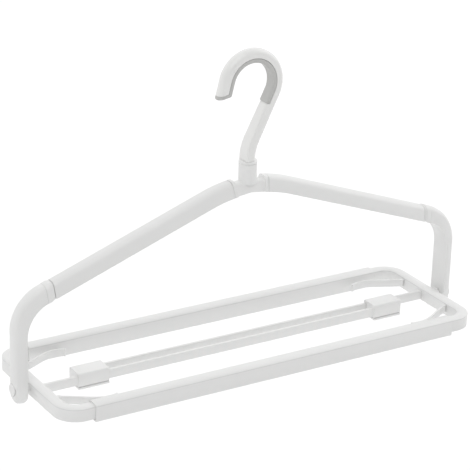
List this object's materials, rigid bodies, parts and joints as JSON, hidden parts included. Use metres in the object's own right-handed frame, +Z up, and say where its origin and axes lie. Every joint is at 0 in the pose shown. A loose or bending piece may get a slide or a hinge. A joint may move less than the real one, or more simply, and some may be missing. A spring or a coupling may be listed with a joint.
{
  "type": "extending towel hanger",
  "caption": "Extending towel hanger: swivel hook with soft liner, arms that slide out of arched shoulder sleeves, and a hinged rack whose rails and bars lengthen with them.",
  "frame": {"origin": "the seat of the hook, at the top of its inner bend, where it rests on a rail", "axes": "+Z up, +X along the hanger towards the side away from the hook's tip, +Y to the back"},
  "size_m": [0.5358, 0.1628, 0.3336],
  "materials": {
    "white_plastic": "satin",
    "hook_plastic": "gloss",
    "grey_rubber": "matte",
    "steel": "brushed"
  },
  "bodies": {
    "hook": {"hook": "hook_plastic", "hook_grip_liner": "grey_rubber", "hook_washer": "steel", "hook_screw": "steel"},
    "hanger": {"swivel_bush": "white_plastic", "hub": "white_plastic", "left_shoulder_sleeve": "white_plastic", "right_shoulder_sleeve": "white_plastic"},
    "left_end": {"left_end_frame": "white_plastic", "left_centre_bar": "white_plastic", "right_slider": "white_plastic"},
    "rails": {"front_rail_sleeve": "white_plastic", "rear_rail_sleeve": "white_plastic"},
    "right_end": {"right_end_frame": "white_plastic", "right_centre_bar": "white_plastic", "left_slider": "white_plastic"},
    "left_arm": {"left_side_arm": "white_plastic", "left_arm_collar": "white_plastic", "left_pivot_pin": "steel", "left_pivot_cap": "white_plastic", "left_pivot_washer": "steel"},
    "front_left_finger": {"front_left_finger": "white_plastic"},
    "rear_left_finger": {"rear_left_finger": "white_plastic"},
    "right_arm": {"right_side_arm": "white_plastic", "right_arm_collar": "white_plastic", "right_pivot_pin": "steel", "right_pivot_cap": "white_plastic", "right_pivot_washer": "steel"},
    "front_right_finger": {"front_right_finger": "white_plastic"},
    "rear_right_finger": {"rear_right_finger": "white_plastic"}
  },
  "joints": [
    {"name": "hook_swivel", "type": "hinge", "parent": "hook", "child": "hanger", "pos_m": [0, 0, -0.10439], "axis": [0, 0, 1], "continuous": true},
    {"name": "left_arm_extend", "type": "slide", "parent": "hanger", "child": "left_arm", "axis": [-0.9409, 0, -0.3387], "range_m": [0, 0.13]},
    {"name": "right_arm_extend", "type": "slide", "parent": "hanger", "child": "right_arm", "axis": [0.9409, 0, -0.3387], "range_m": [0, 0.13]},
    {"name": "rack_fold", "type": "hinge", "parent": "left_arm", "child": "left_end", "pos_m": [-0.25545, 0, -0.30424], "axis": [1, 0, 0], "range_deg": [0, 90]},
    {"name": "rail_slide", "type": "slide", "parent": "left_end", "child": "rails", "axis": [1, 0, 0], "range_m": [0, 0.12241]},
    {"name": "right_end_slide", "type": "slide", "parent": "rails", "child": "right_end", "axis": [1, 0, 0], "range_m": [0, 0.12241]},
    {"name": "front_left_finger_flex", "type": "hinge", "parent": "left_end", "child": "front_left_finger", "pos_m": [-0.2356, -0.0395, -0.30424], "axis": [0, 0, -1], "range_deg": [-10, 4], "stiffness_Nm_per_rad": 0.46},
    {"name": "rear_left_finger_flex", "type": "hinge", "parent": "left_end", "child": "rear_left_finger", "pos_m": [-0.2356, 0.0395, -0.30424], "axis": [0, 0, 1], "range_deg": [-10, 4], "stiffness_Nm_per_rad": 0.46},
    {"name": "front_right_finger_flex", "type": "hinge", "parent": "right_end", "child": "front_right_finger", "pos_m": [0.2356, -0.0395, -0.30424], "axis": [0, 0, 1], "range_deg": [-10, 4], "stiffness_Nm_per_rad": 0.46},
    {"name": "rear_right_finger_flex", "type": "hinge", "parent": "right_end", "child": "rear_right_finger", "pos_m": [0.2356, 0.0395, -0.30424], "axis": [0, 0, -1], "range_deg": [-10, 4], "stiffness_Nm_per_rad": 0.46}
  ],
  "couplings": [
    {"joint": "right_arm_extend", "follows": "left_arm_extend", "ratio": 1},
    {"joint": "rail_slide", "follows": "left_arm_extend", "ratio": 0.94088},
    {"joint": "right_end_slide", "follows": "left_arm_extend", "ratio": 0.94088}
  ]
}
